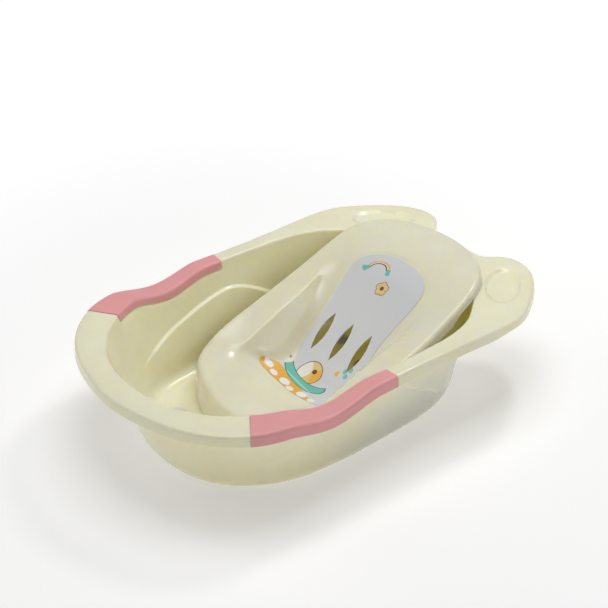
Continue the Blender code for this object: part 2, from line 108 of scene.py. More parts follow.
LEDGE_CREST = (
    (-0.290, 0.050), (-0.250, 0.066), (-0.215, 0.0805), (-0.171, 0.0980), (-0.135, 0.1115),
    (-0.101, 0.1225), (-0.071, 0.1315), (-0.038, 0.1385), (-0.005, 0.1415), (0.037, 0.129),
    (0.088, 0.1005), (0.128, 0.075), (0.180, 0.030),
)
# Rows of the grid down one section, and columns round half the tub, closest on the ears.
SKIRT_ROWS = 4
EDGE_ROWS = 8
TOP_ROWS = 25
INNER_ROWS = 6
LIP_ROWS = 4
WALL_ROWS = 31
CORNER_ROWS = 9
FLOOR_ROWS = 12
GRIP_ROWS = SKIRT_ROWS + EDGE_ROWS + TOP_ROWS + INNER_ROWS + LIP_ROWS
HALF_COLUMNS = ((0.0, 0), (13.0, 112), (19.0, 198), (21.0, 216))
# Stretches of the wall's rows, as shares of the rows: above the crest of the ledge, round
# it, and below it. The middle one starts and ends these shares of the wall from the
# crest, which is kept between the two shares in CREST_SHARES.
WALL_STRETCHES = (0.0, 0.25, 0.72, 1.0)
CREST_ROWS_FROM = -0.015
CREST_ROWS_TO = 0.04
CREST_SHARES = (0.2, 0.8)
FIRST_WALL_ROW = 1.3


def smoothstep(value):
    """0 below 0, 1 above 1, and 3v^2 - 2v^3 between them."""
    value = np.clip(value, 0.0, 1.0)
    return value * value * (3 - 2 * value)


def unit(vectors):
    """The vectors at length 1."""
    return vectors / np.maximum(np.linalg.norm(vectors, axis=-1, keepdims=True), 1e-9)


def table(pairs, x):
    """A smooth curve through the pairs: a cubic between neighbours whose slope at each
    pair is the mean of the two chords that meet there."""
    xs, ys = np.array(pairs).T
    x = np.clip(x, xs[0], xs[-1])
    chord = np.diff(ys) / np.diff(xs)
    slope = np.concatenate([chord[:1], (chord[1:] + chord[:-1]) / 2, chord[-1:]])
    i = np.clip(np.searchsorted(xs, x, side="right") - 1, 0, len(xs) - 2)
    h = xs[i + 1] - xs[i]
    t = (x - xs[i]) / h
    ends = ys[i] + (ys[i + 1] - ys[i]) * smoothstep(t)
    return ends + t * (1 - t) * h * ((1 - t) * slope[i] - t * slope[i + 1])


def round_the_tub(half):
    """A half plan and its mirror image as one closed loop, foot end first."""
    half = np.array(half)
    return np.vstack([half, half[-2:0:-1] * (1.0, -1.0)])


def closed_curve(points, at):
    """The uniform cubic B-spline that passes through a closed loop of points: its control
    points c solve (c[i-1] + 4 c[i] + c[i+1]) / 6 = point i. at counts points round it."""
    count = len(points)
    row = np.zeros(count)
    row[[0, 1, -1]] = (4.0, 1.0, 1.0)
    circulant = np.array([np.roll(row, i) for i in range(count)]) / 6.0
    control = np.linalg.solve(circulant, points)
    first = np.floor(at).astype(int)
    t = (at - first)[:, None]
    weights = ((1 - t) ** 3, 3 * t**3 - 6 * t**2 + 4, -3 * t**3 + 3 * t**2 + 3 * t + 1, t**3)
    return sum(w * control[(first + k - 1) % count] for k, w in enumerate(weights)) / 6.0


def rim_drop(x, y):
    """How far the rim dips below its level top, where the hands hold it: a smooth step
    down from both ends of the dip to its middle, raised to a power that widens it."""
    away = np.abs(x - GRIP_DIP_X) / GRIP_DIP_HALF_LENGTH
    drop = GRIP_DIP * smoothstep(1.0 - away) ** GRIP_DIP_FULLNESS
    return np.where(np.abs(y) > GRIP_SIDE_FROM, drop, 0.0)


def ledge(x, z):
    """Inward step of the side wall below the crest of its arched ledge: a smooth step in
    height, faded out towards the two ends of the arch and towards the floor."""
    low, high = LEDGE_ENDS
    ends = smoothstep((x - low) / LEDGE_END_FADE) * smoothstep((high - x) / LEDGE_END_FADE)
    below = smoothstep((table(LEDGE_CREST, x) - z) / LEDGE_STEP_HEIGHT)
    return LEDGE_INWARD * ends * below * smoothstep((z - LEDGE_FOOT) / LEDGE_END_FADE)


def ear_dish(x, y):
    """Depth of the oval dish in each ear: level inside an ellipse whose long axis follows
    the ear's outer edge, with a rounded wall just inside that ellipse."""
    from_x = x - EAR_DISH_CENTRE[0]
    from_y = np.abs(y) - EAR_DISH_CENTRE[1]
    turn = EAR_DISH_TURN
    long = (from_x * math.cos(turn) + from_y * math.sin(turn)) / EAR_DISH_RADII[0]
    short = (from_y * math.cos(turn) - from_x * math.sin(turn)) / EAR_DISH_RADII[1]
    return EAR_DISH_DEPTH * smoothstep((1.0 - np.hypot(long, short)) / EAR_DISH_WALL)


def raised(plan, height):
    """Plan points joined with their heights."""
    height = np.broadcast_to(height, plan.shape[:-1])
    return np.concatenate([plan, height[..., None]], axis=-1)


def wall_shares(lip, crest, end):
    """Shares of the wall's length for each row: even rows under the rim, rows crowded
    round the crest of the ledge, and even rows from there to the corner at the floor."""
    near = np.linspace(0.0, 1.0, LIP_ROWS + 1)[1:, None] * lip
    knots = np.array([FIRST_WALL_ROW * lip, crest + CREST_ROWS_FROM, crest + CREST_ROWS_TO, end])
    rows = np.linspace(0.0, 1.0, WALL_ROWS)
    stretch = np.searchsorted(WALL_STRETCHES[1:-1], rows)
    starts = np.array(WALL_STRETCHES)
    share = (rows - starts[stretch]) / (starts[stretch + 1] - starts[stretch])
    below = knots[stretch] + share[:, None] * (knots[stretch + 1] - knots[stretch])
    return np.vstack([near, below])


def tub_surface(at):
    """The upper side of the shell. Columns are sections round the tub. Down a section the
    rows follow the flared skirt, a quarter circle onto the rim, the rim less the ear
    dish, a circle arc down to the lean of the wall, the straight wall less the ledge, a
    parabola round the bottom corner, and the floor to the circle of the drain."""
    outer, inner, foot = (
        closed_curve(round_the_tub(half), at) for half in (RIM_OUTER, RIM_INNER, WALL_FOOT)
    )
    out = unit(outer - inner)
    top = RIM_Z - rim_drop(outer[:, 0], outer[:, 1])
    on_ear = smoothstep((outer[:, 0] - EAR_FROM) / EAR_BLEND)
    skirt = SKIRT_DEPTH + (EAR_SKIRT_DEPTH - SKIRT_DEPTH) * on_ear

    share = np.linspace(1.0, 0.0, SKIRT_ROWS, endpoint=False)[:, None]
    skirt_rows = raised(
        outer + SKIRT_FLARE * share[..., None] ** 2 * out,
        top - RIM_EDGE_RADIUS - share * (skirt - RIM_EDGE_RADIUS),
    )
    turn = np.linspace(0.0, math.pi / 2, EDGE_ROWS)[:, None]
    edge_rows = raised(
        outer - RIM_EDGE_RADIUS * (1 - np.cos(turn))[..., None] * out,
        top - RIM_EDGE_RADIUS * (1 - np.sin(turn)),
    )
    share = np.linspace(0.0, 1.0, TOP_ROWS + 1)[1:, None, None]
    rim_from = outer - RIM_EDGE_RADIUS * out
    rim_to = inner + RIM_INNER_RADIUS * out
    plan = rim_from + share * (rim_to - rim_from)
    top_rows = raised(plan, top - ear_dish(plan[..., 0], plan[..., 1]))

    foot = foot - WALL * unit(foot)
    lean = np.arctan2(np.linalg.norm(inner - foot, axis=1), top - FLOOR_Z)
    turn = np.linspace(0.0, 1.0, INNER_ROWS + 1)[1:, None] * (math.pi / 2 - lean)
    inner_rows = raised(
        inner + RIM_INNER_RADIUS * (1 - np.sin(turn))[..., None] * out,
        top - RIM_INNER_RADIUS * (1 - np.cos(turn)),
    )
    wall_top = inner_rows[-1]
    wall_foot = raised(foot, FLOOR_Z)
    down = wall_foot - wall_top
    length = np.linalg.norm(down, axis=1)
    middle_x = (wall_top[:, 0] + wall_foot[:, 0]) / 2
    crest = (wall_top[:, 2] - table(LEDGE_CREST, middle_x)) / (wall_top[:, 2] - FLOOR_Z)
    shares = wall_shares(GRIP_LIP / length, np.clip(crest, *CREST_SHARES), 1 - BOTTOM_CORNER / length)
    wall_rows = wall_top + shares[..., None] * down

    t = np.linspace(0.0, 1.0, CORNER_ROWS + 1)[1:, None, None]
    inward = raised(-out, 0.0)
    corner_rows = wall_foot + BOTTOM_CORNER * (t**2 * inward - (1 - t) ** 2 * unit(down))
    lower = np.concatenate([wall_rows, corner_rows])
    lower = lower + ledge(lower[..., 0], lower[..., 2])[..., None] * inward

    angle = np.arctan2(foot[:, 1], foot[:, 0] - DRAIN_X)
    drain = np.column_stack([DRAIN_X + DRAIN_RADIUS * np.cos(angle), DRAIN_RADIUS * np.sin(angle)])
    share = np.linspace(0.0, 1.0, FLOOR_ROWS + 1)[1:, None, None]
    floor_rows = raised(lower[-1, :, :2] * (1 - share) + drain * share, FLOOR_Z)
    return np.concatenate([skirt_rows, edge_rows, top_rows, inner_rows, lower, floor_rows])


def normals(grid, closed):
    """Unit normals of a grid: the step down a column crossed with the step along a row."""
    down = np.gradient(grid, axis=0)
    if closed:
        along = np.roll(grid, -1, axis=1) - np.roll(grid, 1, axis=1)
    else:
        along = np.gradient(grid, axis=1)
    return unit(np.cross(down, along))


def grid_quads(rows, columns, closed=False):
    """Quads of a grid of points, whose last column meets its first if it is closed."""
    index = np.arange(rows * columns).reshape(rows, columns)
    if closed:
        index = np.hstack([index, index[:, :1]])
    corners = (index[:-1, :-1], index[1:, :-1], index[1:, 1:], index[:-1, 1:])
    return np.stack(corners, axis=-1).reshape(-1, 4)


def new_piece(name, points, faces, finish):
    """A mesh object at the origin, from points in metres and faces that number them."""
    mesh = bpy.data.meshes.new(name)
    mesh.from_pydata(np.asarray(points).reshape(-1, 3).tolist(), [], [list(f) for f in faces])
    mesh.update()
    mesh.materials.append(finish)
    mesh.shade_smooth()
    piece = bpy.data.objects.new(name, mesh)
    bpy.context.scene.collection.objects.link(piece)
    return piece


def thicken(piece, thickness, even=True):
    """A wall grown from a sheet, away from the side that its faces point to."""
    wall = piece.modifiers.new("wall", "SOLIDIFY")
    wall.thickness = thickness
    wall.offset = -1.0
    wall.use_even_offset = even
    wall.use_quality_normals = True


def settle(piece, sharp=40.0):
    """Makes the modifiers' result the piece's own mesh, and keeps edges crisp that turn by
    more than sharp degrees."""
    graph = bpy.context.evaluated_depsgraph_get()
    made = bpy.data.meshes.new_from_object(piece.evaluated_get(graph))
    piece.modifiers.clear()
    piece.data = made
    made.shade_smooth()
    made.set_sharp_from_angle(angle=math.radians(sharp))


def linear(code):
    """An sRGB hex code as the linear colour that a material's sockets hold."""
    parts = np.array([int(code[i:i + 2], 16) for i in (1, 3, 5)]) / 255.0
    parts = np.where(parts <= 0.04045, parts / 12.92, ((parts + 0.055) / 1.055) ** 2.4)
    return (*parts.tolist(), 1.0)


def node(tree, kind, inputs=(), **settings):
    """Adds a node. Settings are its properties, and inputs gives each socket, by name or
    number, a value or another node's output socket."""
    made = tree.nodes.new(kind)
    for key, value in settings.items():
        setattr(made, key, value)
    for key, value in dict(inputs).items():
        if isinstance(value, bpy.types.NodeSocket):
            tree.links.new(value, made.inputs[key])
        else:
            made.inputs[key].default_value = value
    return made


def plain_material(name):
    """A material, its tree, its shader, which is joined to the output, and the socket that
    gives the piece's own coordinates."""
    finish = bpy.data.materials.new(name)
    finish.use_nodes = True
    tree = finish.node_tree
    tree.nodes.clear()
    shader = node(tree, "ShaderNodeBsdfPrincipled")
    node(tree, "ShaderNodeOutputMaterial", {"Surface": shader.outputs["BSDF"]})
    place = node(tree, "ShaderNodeTexCoord").outputs["Object"]
    return finish, tree, shader, place


def per_metre(size_mm):
    """Texture scale at which one feature of a noise is that many millimetres across."""
    return 1000.0 / size_mm


def moulded_plastic(name, tones, light_depth):
    """Polypropylene from a polished mould. Light goes light_depth millimetres in, least the
    blue, and comes out warmer. The tone drifts over 90 mm, the gloss over 14 mm, and uneven
    shrinkage leaves waves 26 mm across and 0.05 mm deep."""
    finish, tree, shader, place = plain_material(name)
    cloud = node(tree, "ShaderNodeTexNoise", {"Vector": place, "Scale": per_metre(90.0), "Detail": 3.0})
    tone = node(tree, "ShaderNodeValToRGB", {"Fac": cloud.outputs["Fac"]})
    tone.color_ramp.elements[0].position = 0.35
    tone.color_ramp.elements[0].color = linear(tones[0])
    tone.color_ramp.elements[1].position = 0.65
    tone.color_ramp.elements[1].color = linear(tones[1])
    haze = node(tree, "ShaderNodeTexNoise", {"Vector": place, "Scale": per_metre(14.0), "Detail": 4.0})
    gloss = node(tree, "ShaderNodeMapRange", {
        "Value": haze.outputs["Fac"], "From Min": 0.3, "From Max": 0.7,
        "To Min": 0.15, "To Max": 0.22,
    })
    peel = node(tree, "ShaderNodeTexNoise", {"Vector": place, "Scale": per_metre(26.0), "Detail": 2.0})
    bump = node(tree, "ShaderNodeBump", {
        "Height": peel.outputs["Fac"], "Strength": 1.0, "Distance": 0.00005,
    })
    tree.links.new(tone.outputs["Color"], shader.inputs["Base Color"])
    tree.links.new(gloss.outputs["Result"], shader.inputs["Roughness"])
    tree.links.new(bump.outputs["Normal"], shader.inputs["Normal"])
    shader.inputs["IOR"].default_value = 1.49
    shader.inputs["Subsurface Weight"].default_value = 1.0
    shader.inputs["Subsurface Radius"].default_value = (1.0, 0.85, 0.22)
    shader.inputs["Subsurface Scale"].default_value = light_depth / 1000.0
    return finish


# Ivory polypropylene of the tub: glossy, milky, deeper yellow in the folds.
cream_polypropylene = moulded_plastic("ivory_polypropylene", ("#F0EBD6", "#F4F0DE"), light_depth=5.5)

half_stations, half_counts = np.array(HALF_COLUMNS).T
half = np.interp(np.arange(half_counts[-1] + 1), half_counts, half_stations)
end_steps = (-GRIP_END_STEP, GRIP_END_STEP)
grip_ends = np.array([end + step for end in GRIP_STATIONS for step in end_steps])
half = np.unique(np.concatenate([half, grip_ends]))
stations = 2 * half[-1]
round_at = np.concatenate([half, stations - half[-2:0:-1]])
tub_grid = tub_surface(round_at)
from_foot = np.minimum(round_at, stations - round_at)
under_grip = (from_foot > GRIP_STATIONS[0]) & (from_foot < GRIP_STATIONS[1])
tub_grid[:GRIP_ROWS] -= GRIP_SUNK * (under_grip[:, None] * normals(tub_grid, True)[:GRIP_ROWS])
tub = new_piece("tub", tub_grid, grid_quads(*tub_grid.shape[:2], closed=True), cream_polypropylene)
thicken(tub, WALL)
settle(tub)
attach(tub, "tub")
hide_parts("tub_shell")

# Rim grips. Two satin soft-touch strips, moulded over the rim where it dips for the
# hands: each wraps the skirt, the rim and the lip of the wall, and stands a little proud.
GRIP_PROUD = 0.0008
GRIP_THICKNESS = 0.0020
GRIP_EDGE = 0.0005
GRIP_COLUMNS = 96


def soft_touch(name, tones, grain_mm, grain_height_mm):
    """Thermoplastic elastomer over the rim: satin, a little cloudy, with the fine even
    spark-eroded grain of its mould, drawn coarser than the real 0.2 mm so that it shows."""
    finish, tree, shader, place = plain_material(name)
    cloud = node(tree, "ShaderNodeTexNoise", {"Vector": place, "Scale": per_metre(45.0), "Detail": 3.0})
    tone = node(tree, "ShaderNodeValToRGB", {"Fac": cloud.outputs["Fac"]})
    tone.color_ramp.elements[0].position = 0.3
    tone.color_ramp.elements[0].color = linear(tones[0])
    tone.color_ramp.elements[1].position = 0.7
    tone.color_ramp.elements[1].color = linear(tones[1])
    grain = node(tree, "ShaderNodeTexNoise", {"Vector": place, "Scale": per_metre(grain_mm), "Detail": 3.0})
    gloss = node(tree, "ShaderNodeMapRange", {
        "Value": grain.outputs["Fac"], "From Min": 0.3, "From Max": 0.7, "To Min": 0.34, "To Max": 0.46,
    })
    bump = node(tree, "ShaderNodeBump", {
        "Height": grain.outputs["Fac"], "Strength": 1.0, "Distance": grain_height_mm / 1000.0,
    })
    tree.links.new(tone.outputs["Color"], shader.inputs["Base Color"])
    tree.links.new(gloss.outputs["Result"], shader.inputs["Roughness"])
    tree.links.new(bump.outputs["Normal"], shader.inputs["Normal"])
    shader.inputs["IOR"].default_value = 1.48
    shader.inputs["Subsurface Weight"].default_value = 0.35
    shader.inputs["Subsurface Radius"].default_value = (1.0, 0.35, 0.3)
    shader.inputs["Subsurface Scale"].default_value = 0.002
    return finish


# Pink elastomer of the grips: satin beside the glossy rim.
pink_elastomer = soft_touch(
    "pink_elastomer", ("#F3A9AA", "#F5AFB0"), grain_mm=1.1, grain_height_mm=0.02,
)

first, last = GRIP_STATIONS[0] + GRIP_END_STEP, GRIP_STATIONS[1] - GRIP_END_STEP
grip_at = np.linspace(first, last, GRIP_COLUMNS)
grip_grid = tub_surface(grip_at)[:GRIP_ROWS]
grip_grid = grip_grid + GRIP_PROUD * normals(grip_grid, False)
for side, node_name in ((1.0, "grip_left"), (-1.0, "grip_right")):
    quads = grid_quads(*grip_grid.shape[:2])
    quads = quads if side > 0 else quads[:, ::-1]
    name = node_name.replace("grip", "rim_grip")
    grip = new_piece(name, grip_grid * (1.0, side, 1.0), quads, pink_elastomer)
    thicken(grip, GRIP_THICKNESS, even=False)
    round_edges = grip.modifiers.new("round edges", "BEVEL")
    round_edges.width = GRIP_EDGE
    round_edges.segments = 2
    round_edges.limit_method = "ANGLE"
    round_edges.angle_limit = math.radians(60.0)
    settle(grip, 35.0)
    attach(grip, "tub")
    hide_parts(node_name)

# Bath seat. A second polypropylene shell that stands on the tub floor at its foot and on
# the rim at its head: a broad sloping border, a waisted hollow for the baby, a pocket
# beside each hip, and a rolled edge. Three leaf slots and two small holes let water out.
SEAT_WALL = 0.0020
SEAT_ROLL = 0.010
SEAT_SKIRT = 0.022
SEAT_SKIRT_FLARE = 0.0015
SEAT_SKIRT_LEAST = 0.0020
SEAT_CLEARANCE = 0.0010
FOOT_ROLL_FROM = -0.060
FOOT_ROLL_BLEND = 0.070
FOOT_ROLL_REACH = 0.006
FOOT_ROLL_FALL = 0.010
ON_FLOOR_FROM = -0.062
ON_FLOOR_BLEND = 0.075
ON_RIM_FROM = 0.195
ON_RIM_BLEND = 0.045
SEAT_GRID = (204, 176)
ROLL_ROWS = 9
SKIRT_DOWN_ROWS = 2
ROLL_TURN = math.radians(85.0)
SEAT_PLAN = (
    (-0.173, 0.000), (-0.169, 0.051), (-0.152, 0.101), (-0.117, 0.146), (-0.063, 0.168),
    (0.000, 0.171), (0.065, 0.171), (0.130, 0.170), (0.190, 0.167), (0.246, 0.160),
    (0.292, 0.137), (0.325, 0.100), (0.344, 0.050), (0.350, 0.000),
)
SEAT_CORNERS = (3, 10)
# Lines along the seat, each as pairs of place along the tub and value. From the middle
# outwards: the hollow's floor and its half width, the foot of the pocket's face and its
# height, the crease above that face and its height, and the border at the seat's edge.
SEAT_HOLLOW = (
    (-0.200, 0.066), (-0.150, 0.062), (-0.100, 0.048), (-0.035, 0.030), (0.000, 0.031),
    (0.030, 0.040), (0.058, 0.061), (0.117, 0.114), (0.160, 0.151), (0.194, 0.178),
    (0.225, 0.193), (0.260, 0.206), (0.300, 0.216), (0.360, 0.219),
)
FLOOR_EDGE = (
    (-0.200, 0.085), (-0.100, 0.085), (-0.054, 0.096), (-0.031, 0.100), (0.012, 0.080),
    (0.038, 0.078), (0.060, 0.084), (0.113, 0.086), (0.165, 0.093), (0.205, 0.094),
    (0.240, 0.078), (0.360, 0.050),
)
FACE_FOOT = (
    (-0.200, 0.110), (-0.100, 0.118), (-0.075, 0.117), (-0.054, 0.113), (-0.030, 0.102),
    (0.007, 0.090), (0.033, 0.0905), (0.054, 0.093), (0.079, 0.098), (0.117, 0.112),
    (0.141, 0.118), (0.200, 0.118), (0.360, 0.110),
)
FACE_FOOT_HEIGHT = (
    (-0.200, 0.080), (-0.100, 0.0745), (-0.075, 0.0725), (-0.054, 0.070), (-0.030, 0.059),
    (0.007, 0.062), (0.033, 0.075), (0.054, 0.0904), (0.079, 0.1084), (0.117, 0.1310),
    (0.141, 0.147), (0.170, 0.166), (0.200, 0.183), (0.250, 0.2055), (0.290, 0.216),
    (0.360, 0.219),
)
CREASE = (
    (-0.200, 0.140), (-0.100, 0.132), (-0.075, 0.126), (-0.054, 0.120), (-0.003, 0.121),
    (0.045, 0.123), (0.093, 0.125), (0.147, 0.131), (0.200, 0.135), (0.360, 0.120),
)
CREASE_HEIGHT = (
    (-0.200, 0.072), (-0.150, 0.074), (-0.100, 0.0765), (-0.075, 0.0770), (-0.054, 0.0795),
    (-0.003, 0.0995), (0.045, 0.1190), (0.093, 0.1370), (0.147, 0.1595), (0.170, 0.1710),
    (0.210, 0.190), (0.250, 0.207), (0.290, 0.216), (0.360, 0.219),
)
SEAT_BORDER = (
    (-0.200, 0.068), (-0.150, 0.072), (-0.110, 0.079), (-0.060, 0.092), (0.010, 0.114),
    (0.070, 0.134), (0.130, 0.156), (0.170, 0.173), (0.210, 0.191), (0.250, 0.207),
    (0.290, 0.216), (0.360, 0.219),
)
BORDER_SIDE = 0.171
POCKET_ENDS = (-0.066, 0.150)
POCKET_END_FADE = 0.012
SHARP_BEND = 0.0016
SOFT_BEND = 0.012
FLOOR_BEND = 0.009
HOLLOW_DISH = 2.0
HOLLOW_DISH_END = 0.06
HOLLOW_DISH_BLEND = 0.08
LABEL_PLAN = (
    (-0.035, 0.000), (-0.034, 0.045), (-0.031, 0.096), (0.004, 0.073), (0.028, 0.062),
    (0.050, 0.076), (0.110, 0.080), (0.165, 0.088), (0.205, 0.088), (0.232, 0.062),
    (0.243, 0.030), (0.245, 0.000),
)
LABEL_CORNERS = (2, 8)
RECESS_MARGIN = 0.005
RECESS_EDGE = 0.0018
RECESS_DEPTH = 0.0010
RECESS_POINTS = 160
SLOT_X = (0.056, 0.118)
SLOT_SPACING = 0.0515
SLOT_HALF_WIDTH = 0.0095
SLOT_POINTS = 24
WEEP_HOLE = (0.025, 0.073)
WEEP_RADIUS = 0.0025
CUTTER_HEIGHTS = (0.020, 0.180)


def bend(distance, reach):
    """A ramp that starts at distance 0, rounded by a parabola within reach of there."""
    near = np.clip(distance + reach, 0.0, 2 * reach) ** 2 / (4 * reach)
    return near + np.maximum(distance - reach, 0.0)


def seat_height(x, y):
    """Top of the seat. Across it lie straight slopes over a floor that is dished at its
    foot end: up from the floor's edge, up the face beside the pocket, and over the
    border. Bends join them, sharp ones beside the pocket and soft ones elsewhere."""
    side = np.abs(y)
    dish = HOLLOW_DISH * smoothstep((HOLLOW_DISH_END - x) / HOLLOW_DISH_BLEND)
    hollow = table(SEAT_HOLLOW, x)
    places = [table(line, x) for line in (FLOOR_EDGE, FACE_FOOT, CREASE)] + [BORDER_SIDE + 0 * x]
    rises = [0 * x]
    for line, place in zip((FACE_FOOT_HEIGHT, CREASE_HEIGHT, SEAT_BORDER), places[1:]):
        rises.append(table(line, x) - hollow - dish * place**2)
    low, high = POCKET_ENDS
    in_pocket = smoothstep((x - low) / POCKET_END_FADE) * smoothstep((high - x) / POCKET_END_FADE)
    reach = SOFT_BEND + (SHARP_BEND - SOFT_BEND) * in_pocket
    height = hollow + dish * side**2
    slope = 0.0
    for i, spread in enumerate((FLOOR_BEND + 0 * x, reach, reach)):
        steeper = (rises[i + 1] - rises[i]) / (places[i + 1] - places[i])
        height = height + (steeper - slope) * bend(side - places[i], spread)
        slope = steeper
    return height


def fill_plan(half_plan, corners, along, across):
    """A Coons patch: a grid over a closed plan, ruled between its foot and head edges and
    between its two sides, less the bilinear patch of its four corners."""
    loop = round_the_tub(half_plan)
    count = len(loop)
    low, high = corners
    shares = np.linspace(-1.0, 1.0, across)
    foot = closed_curve(loop, (low * shares) % count)
    head = closed_curve(loop, (count / 2 - (count / 2 - high) * shares) % count)
    left = closed_curve(loop, np.linspace(low, high, along))
    right = left * (1.0, -1.0)
    u = (shares[None, :, None] + 1) / 2
    v = np.linspace(0.0, 1.0, along)[:, None, None]
    ends = (1 - v) * foot[None] + v * head[None]
    sides = (1 - u) * right[:, None] + u * left[:, None]
    corner = (1 - v) * ((1 - u) * foot[0] + u * foot[-1]) + v * ((1 - u) * head[0] + u * head[-1])
    return ends + sides - corner


def outside_distance(plan, loop):
    """Distance from each plan point to a closed outline, negative inside it."""
    ends = np.roll(loop, -1, axis=0)
    flat = plan.reshape(-1, 1, 2)
    run = ends - loop
    share = np.clip(((flat - loop) * run).sum(-1) / (run**2).sum(-1), 0.0, 1.0)
    distance = np.linalg.norm(flat - loop - share[..., None] * run, axis=-1).min(axis=1)
    above = (loop[:, 1] > flat[..., 1]) != (ends[:, 1] > flat[..., 1])
    rise = np.where(np.abs(run[:, 1]) < 1e-12, 1e-12, run[:, 1])
    crossing = loop[:, 0] + (flat[..., 1] - loop[:, 1]) * run[:, 0] / rise
    inside = (above & (flat[..., 0] < crossing)).sum(axis=1) % 2 == 1
    return np.where(inside, -distance, distance).reshape(plan.shape[:-1])


def recess(plan):
    """Depth of the shallow recess that the label lies in, a little wider than the label."""
    stations = 2 * (len(LABEL_PLAN) - 1)
    at = np.linspace(0, stations, RECESS_POINTS, endpoint=False)
    loop = closed_curve(round_the_tub(LABEL_PLAN), at)
    outside = outside_distance(plan, loop)
    return RECESS_DEPTH * smoothstep((RECESS_MARGIN + RECESS_EDGE - outside) / RECESS_EDGE)


def skirt_bottom(x, crest):
    """The skirt hangs free, but reaches the floor at the foot and the rim at the head."""
    hanging = crest - SEAT_SKIRT
    to_floor = smoothstep((ON_FLOOR_FROM - x) / ON_FLOOR_BLEND)
    to_rim = smoothstep((x - ON_RIM_FROM) / ON_RIM_BLEND)
    low = hanging + (FLOOR_Z + SEAT_CLEARANCE - hanging) * to_floor
    return low + (RIM_Z + SEAT_CLEARANCE - low) * to_rim


def seat_surface():
    """Points and faces of the seat's upper side: a plan grid at the seat's height, and
    rows round its edge that follow a quarter ellipse and then the flared skirt."""
    plan = fill_plan(SEAT_PLAN, SEAT_CORNERS, *SEAT_GRID)
    top = raised(plan, seat_height(plan[..., 0], plan[..., 1]) - recess(plan))
    index = np.arange(top[..., 0].size).reshape(SEAT_GRID)
    ring = np.concatenate([index[0, ::-1], index[1:, 0], index[-1, 1:], index[-2:0:-1, -1]])
    edge = top.reshape(-1, 3)[ring]
    step = np.roll(edge, -1, axis=0) - np.roll(edge, 1, axis=0)
    outward = unit(np.column_stack([step[:, 1], -step[:, 0]]))
    at_foot = smoothstep((FOOT_ROLL_FROM - edge[:, 0]) / FOOT_ROLL_BLEND)
    reach = SEAT_ROLL + FOOT_ROLL_REACH * at_foot
    fall = SEAT_ROLL + FOOT_ROLL_FALL * at_foot
    turn = np.linspace(0.0, ROLL_TURN, ROLL_ROWS + 1)[1:, None]
    roll_plan = edge[:, :2] + (reach * np.sin(turn))[..., None] * outward
    roll = raised(roll_plan, edge[:, 2] - fall * (1 - np.cos(turn)))
    foot_plan = edge[:, :2] + (reach + SEAT_SKIRT_FLARE)[:, None] * outward
    bottom = np.minimum(skirt_bottom(edge[:, 0], edge[:, 2]), roll[-1, :, 2] - SEAT_SKIRT_LEAST)
    foot = raised(foot_plan, bottom)
    share = np.linspace(0.0, 1.0, SKIRT_DOWN_ROWS + 1)[1:, None, None]
    skirt = roll[-1] + share * (foot - roll[-1])
    hanging = np.concatenate([roll, skirt])
    below = top[..., 0].size + np.arange(hanging[..., 0].size).reshape(hanging.shape[:2])
    rows = np.vstack([ring, below])
    rows = np.hstack([rows, rows[:, :1]])
    edge_quads = np.stack([rows[:-1, :-1], rows[1:, :-1], rows[1:, 1:], rows[:-1, 1:]], axis=-1)
    points = np.vstack([top.reshape(-1, 3), hanging.reshape(-1, 3)])
    return points, np.vstack([grid_quads(*SEAT_GRID), edge_quads.reshape(-1, 4)])


def leaf_outline(y):
    """Pointed oval: two parabolas between the slot's ends, anticlockwise."""
    low, high = SLOT_X
    share = np.linspace(-1.0, 1.0, SLOT_POINTS)
    bulge = SLOT_HALF_WIDTH * (1 - share**2)
    x = (low + high) / 2 + share * (high - low) / 2
    lower = np.column_stack([x, y - bulge])
    upper = np.column_stack([x, y + bulge])
    return np.vstack([lower, upper[-2:0:-1]])


def hole_outline(y):
    """A circle, anticlockwise."""
    turn = np.linspace(0.0, 2 * math.pi, SLOT_POINTS, endpoint=False)
    return np.column_stack([WEEP_HOLE[0] + WEEP_RADIUS * np.cos(turn), y + WEEP_RADIUS * np.sin(turn)])


def drain_cutters(finish):
    """Upright closed prisms of the slots and holes, as one mesh."""
    outlines = [leaf_outline(i * SLOT_SPACING) for i in (-1, 0, 1)]
    outlines += [hole_outline(side * WEEP_HOLE[1]) for side in (-1, 1)]
    points, faces = [], []
    start = 0
    for outline in outlines:
        count = len(outline)
        points += [raised(outline, height) for height in CUTTER_HEIGHTS]
        low = start + np.arange(count)
        beside = np.roll(low, -1)
        faces += np.column_stack([low, beside, beside + count, low + count]).tolist()
        faces += [low[::-1].tolist(), (low + count).tolist()]
        start += 2 * count
    return new_piece("drain_cutters", np.vstack(points), faces, finish)


def cut(piece, cutter):
    """Takes the cutter's prisms out of the piece."""
    hole = piece.modifiers.new("drain slots", "BOOLEAN")
    hole.operation = "DIFFERENCE"
    hole.object = cutter


# The seat's own ivory polypropylene, more heavily pigmented, so less light goes through.
seat_polypropylene = moulded_plastic(
    "ivory_polypropylene_opaque", ("#F2ECD2", "#F5F0DA"), light_depth=2.6,
)

cutters = drain_cutters(seat_polypropylene)
seat = new_piece("seat", *seat_surface(), seat_polypropylene)
thicken(seat, SEAT_WALL)
cut(seat, cutters)
settle(seat)
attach(seat, "bath_seat")
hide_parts("bath_seat")

# Seat label. A sheet of printed film in the seat's recess, cut out over the slots. Its
# picture is a plain one of its own: a rainbow, a flower, and a ball floating on waves.
LABEL_THICKNESS = 0.0005
LABEL_LIFT = 0.0008
LABEL_GRID = (150, 90)
FILM_GREYS = ("#D6D8DA", "#DCDDDF")
SAND = "#F2B84B"
TEAL = "#74C6B4"
DEEP_TEAL = "#3D6F6A"
PALE_TEAL = "#A9DDD0"
TAN = "#EBCB85"
BROWN = "#6B4530"
FOAM_WHITE = "#F6F6F4"
BALL_WHITE = "#F3F1E6"
